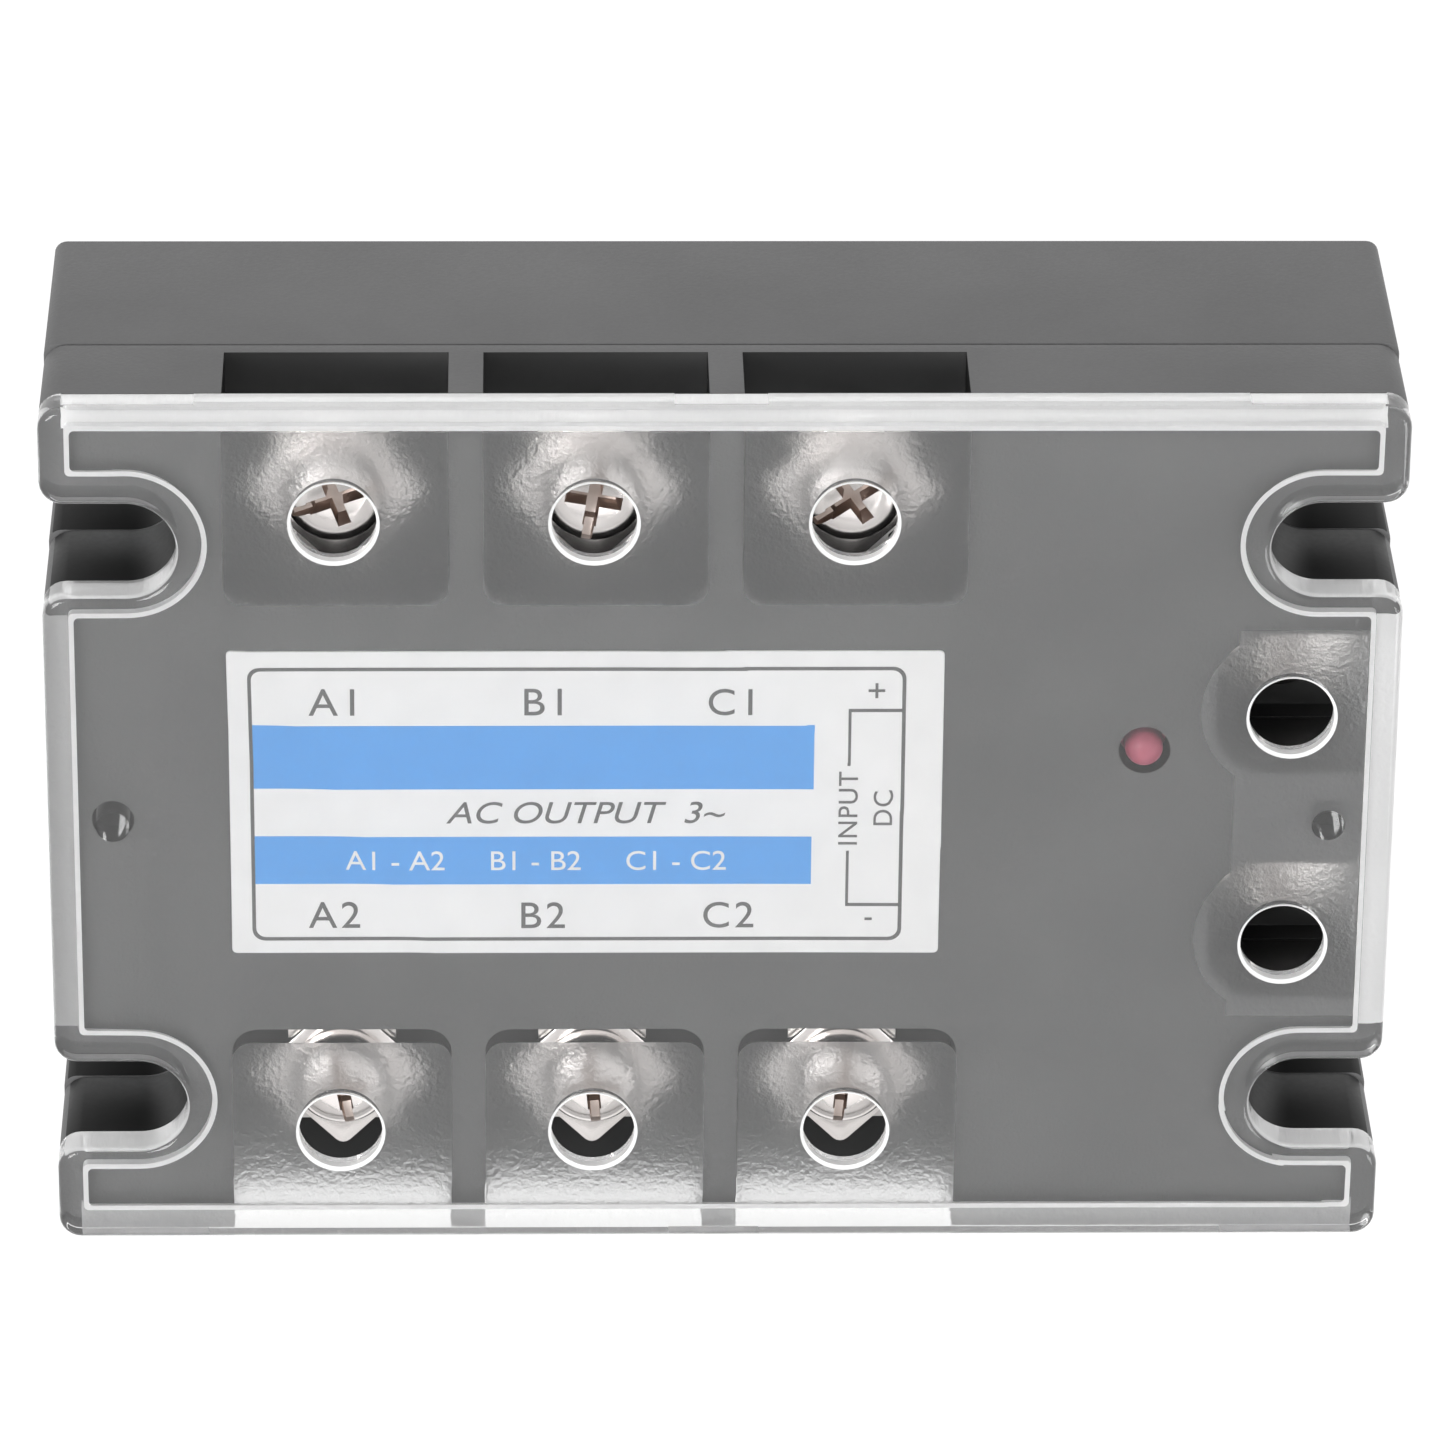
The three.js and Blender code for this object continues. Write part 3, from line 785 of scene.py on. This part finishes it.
for tag, side in (("plus", 1), ("minus", -1)):
    y = side * CONTROL_Y
    bay = slab(
        "bay",
        (CONTROL_BAY_LEFT, y - CONTROL_BAY_HALF, CONTROL_FLOOR),
        (HOUSING_X, y + CONTROL_BAY_HALF, seam + 1 * mm),
        case_plastic_painted_shade,
    )
    round_off(bay, CONTROL_BAY_CORNER, 6, inner_corner)
    tub(
        "control_floor_" + tag,
        (CONTROL_BAY_LEFT - 1.3 * mm, y - CONTROL_TUB_HALF, CONTROL_FLOOR - 1.6 * mm),
        (HOUSING_X - WALL - GAP, y + CONTROL_TUB_HALF, seam),
        [bay],
    )
    low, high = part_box("control_strip_" + tag)
    strip = slab("strip_" + tag, (low.x, low.y, high.z - STRIP_THICKNESS), high, tinned_copper)
    leg_high = (low.x + STRIP_THICKNESS, y + LEG_HALF, high.z - 0.1 * mm)
    add_on(strip, slab("leg", (low.x, y - LEG_HALF, low.z), leg_high, tinned_copper))
    bottom = high.z - 2 * mm
    carve(strip, peg("hole", CONTROL_X, y, CONTROL_BORE, bottom, high.z + 1 * mm, tinned_copper, 32))
    soften(strip, 0.12 * mm)
    fit(strip, "housing", "copper", "control_strip_" + tag)
    washer = square_washer(
        "clamp_plate_" + tag, CONTROL_X, y, "control_washer_" + tag, 6.4 * mm, CONTROL_BORE, 0
    )
    fit(washer, "washer_" + tag, "nickel_steel", "control_washer_" + tag)
    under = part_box("control_washer_" + tag)[1].z
    screw = pan_screw("pan_screw_" + tag, CONTROL_X, y, "control_screw_" + tag, under, 1.75 * mm, 30 * side)
    fit(screw, "screw_" + tag, "nickel_steel", "control_screw_" + tag)


# ---- clear cover ----
# One clear moulding that clips on over the terminals: a flat sheet with a skirt all round,
# eight screwdriver holes, two pegs, and frosted panels under the sheet over each bay.

SHEET = 1.8 * mm
HOLE_RADIUS = 3.3 * mm
PEG_RADIUS = 1.3 * mm
SKIM = 0.05 * mm
REST_GAP = 0.05 * mm
RIM = 0.25 * mm
EDGE_BAND = 0.4 * mm
LOBE = 7 * mm
FROST_BACK = 19.3 * mm


def clear_plastic(name, tint, roughness, clearness, grain=None, depth=0.0, stretch=(1, 1, 1)):
    """Clear polycarbonate, polished or with a textured face that scatters some of the light."""
    material, tree, shader = new_material(name)
    shader.inputs["Base Color"].default_value = (tint, tint, tint, 1)
    shader.inputs["Roughness"].default_value = roughness
    shader.inputs["Transmission Weight"].default_value = clearness
    shader.inputs["IOR"].default_value = 1.5
    if grain:
        relief(tree, shader, object_noise(tree, grain, 3, stretch), depth)
    return material


polished = clear_plastic("polished clear plastic", 0.99, 0.02, 1)
frosted = clear_plastic("frosted clear plastic", 0.7, 0.38, 0.88, 2400, 0.12 * mm)
etched = clear_plastic("etched clear plastic", 0.95, 0.3, 0.1, 1800, 0.05 * mm)
rippled = clear_plastic("rippled clear plastic", 0.97, 0.12, 0.6, 900, 0.15 * mm, (1, 1, 0.15))

cover_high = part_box("clear_cover")[1]
underside = cover_high.z - SHEET
cover_foot = case_top + REST_GAP
cover = notched_block("cover_shell", 0, cover_foot, cover_high.z, polished, rippled)
round_off(cover, 0.6 * mm, 4, lambda a, b: min(a.z, b.z) > cover_high.z - 0.01 * mm)
carve(cover, notched_block("room", WALL, case_top - 1 * mm, underside - SKIM, etched, etched))
inset = WALL + EDGE_BAND
carve(cover, notched_block("room ceiling", inset, underside - 0.5 * mm, underside, polished, polished))


def face_off(finish, low, high):
    """Gives the cover's faces inside a box another finish by taking a hair's breadth off them."""
    carve(cover, slab("finish cut", low, high, finish))


reach = HOUSING_X - CORNER
outer = HOUSING_Y + 1 * mm
wall = HOUSING_Y - WALL - 0.5 * mm
face_off(etched, (-reach, wall, case_top - 1 * mm), (reach, outer, cover_foot + SKIM))
face_off(rippled, (-reach, -outer, case_top - 1 * mm), (reach, -wall, cover_foot + SKIM))
for side in (1, -1):
    for left, right in ((-reach, -40.6 * mm), (-3.9 * mm, 3.3 * mm), (40.2 * mm, reach)):
        ys = mirrored_span(side, HOUSING_Y - SKIM, outer)
        face_off(rippled, (left, ys[0], case_top - 1 * mm), (right, ys[1], cover_high.z - 0.9 * mm))
    middle = NOTCH_Y - NOTCH_RADIUS - WALL - 0.5 * mm
    xs = mirrored_span(side, HOUSING_X - WALL - 1 * mm, HOUSING_X + 1 * mm)
    foot = etched if side > 0 else rippled
    face_off(foot, (xs[0], -middle, case_top - 1 * mm), (xs[1], middle, cover_foot + SKIM))
    xs = mirrored_span(side, HOUSING_X - WALL - 0.5 * mm, HOUSING_X - WALL + SKIM)
    face_off(rippled, (xs[0], -middle, case_top - 1 * mm), (xs[1], middle, underside - 0.1 * mm))

for x, side in power_places:
    ys = mirrored_span(side, FROST_BACK, HOUSING_Y - inset - 0.05 * mm)
    panel = slab(
        "frosted panel",
        (x + BAY_SHIFT - BAY_HALF, ys[0], underside - 0.5 * mm),
        (x + BAY_SHIFT + BAY_HALF, ys[1], underside + SKIM),
        frosted,
    )
    round_off(panel, 1.5 * mm, 5, lambda a, b: upright(a, b) and abs(a.y) < 20 * mm)
    carve(cover, panel)
control_panel = slab(
    "frosted panel",
    (40 * mm, -17 * mm, underside - 0.5 * mm),
    (HOUSING_X - inset - 0.05 * mm, 17 * mm, underside + SKIM),
    frosted,
)
for side in (1, -1):
    lobe_y = side * CONTROL_Y
    lobe = peg("lobe", CONTROL_X, lobe_y, LOBE, underside - 0.5 * mm, underside + SKIM, frosted, 64)
    add_on(control_panel, lobe)
beyond = (HOUSING_X + 1 * mm, HOUSING_Y, underside + 1 * mm)
carve(control_panel, slab("trim", (HOUSING_X - inset - 0.05 * mm, -HOUSING_Y, case_top), beyond, frosted))
carve(cover, control_panel)
holes = [(x, side * DRIVER_HOLE_Y) for x, side in power_places]
holes += [(CONTROL_X, CONTROL_Y), (CONTROL_X, -CONTROL_Y)]
for x, y in holes:
    driver_hole = peg("driver hole", x, y, HOLE_RADIUS, underside - 1 * mm, cover_high.z - RIM, etched, 64)
    pick_faces(driver_hole, lambda centre, normal: normal.z > 0.9)
    bpy.ops.mesh.extrude_region_move(TRANSFORM_OT_translate={"value": (0, 0, 2 * RIM)})
    bpy.ops.transform.resize(value=(1 + 2 * RIM / HOLE_RADIUS, 1 + 2 * RIM / HOLE_RADIUS, 1))
    bpy.ops.object.mode_set(mode="OBJECT")
    carve(cover, driver_hole)
    middle = underside + 0.8 * mm
    carve(cover, peg("driver hole", x, y, HOLE_RADIUS + SKIM, underside - 1 * mm, middle, polished, 64))
for side in (1, -1):
    add_on(cover, peg("peg", side * PEG_X, 0, PEG_RADIUS, PEG_END, underside + 0.5 * mm, polished, 32))
work_on(cover)
bpy.ops.object.shade_smooth_by_angle(angle=math.radians(35))
fit(cover, "cover", "clear_plastic", "clear_cover")


# ---- studio ----
# A glowing white floor, a sky that is brightest overhead, and two soft lights from above.

floor_material, tree, shader = new_material("studio floor")
shader.inputs["Base Color"].default_value = (0.06, 0.06, 0.06, 1)
shader.inputs["Roughness"].default_value = 0.9
shader.inputs["Specular IOR Level"].default_value = 0
shader.inputs["Emission Color"].default_value = (1, 1, 1, 1)
shader.inputs["Emission Strength"].default_value = 1
bpy.ops.mesh.primitive_plane_add(size=6, location=(0, 0, -0.05 * mm))
floor = name_it("studio_floor")
floor.data.materials.append(floor_material)

world = bpy.data.worlds.new("studio")
world.use_nodes = True
sky = world.node_tree
sky.nodes["Background"].inputs["Color"].default_value = (1, 1, 1, 1)
direction = sky.nodes.new("ShaderNodeTexCoord")
axes = sky.nodes.new("ShaderNodeSeparateXYZ")
sky.links.new(direction.outputs["Generated"], axes.inputs["Vector"])
sky.links.new(vary(sky, axes.outputs["Z"], 0.35, 1.25), sky.nodes["Background"].inputs["Strength"])
bpy.context.scene.world = world

for name, place, size, power in (
    ("key light", (-0.4, 0.15, 0.8), 0.35, 3.8),
    ("fill light", (0.5, -0.2, 0.6), 0.3, 1.5),
):
    bpy.ops.object.light_add(type="AREA", location=place)
    light = bpy.context.object
    light.name = name
    light.data.shape = "SQUARE"
    light.data.size = size
    light.data.energy = power
    light.rotation_euler = Vector(place).to_track_quat("Z", "Y").to_euler()

bpy.context.scene.view_settings.view_transform = "Standard"

bpy.ops.object.camera_add(location=(-0.01575, 0.3256, 0.64753))
camera = bpy.context.object
camera.rotation_euler = (math.radians(-27.173), math.radians(-1.199), math.radians(0.514))
camera.data.lens = 222.34
camera.data.sensor_width = 36
bpy.context.scene.camera = camera
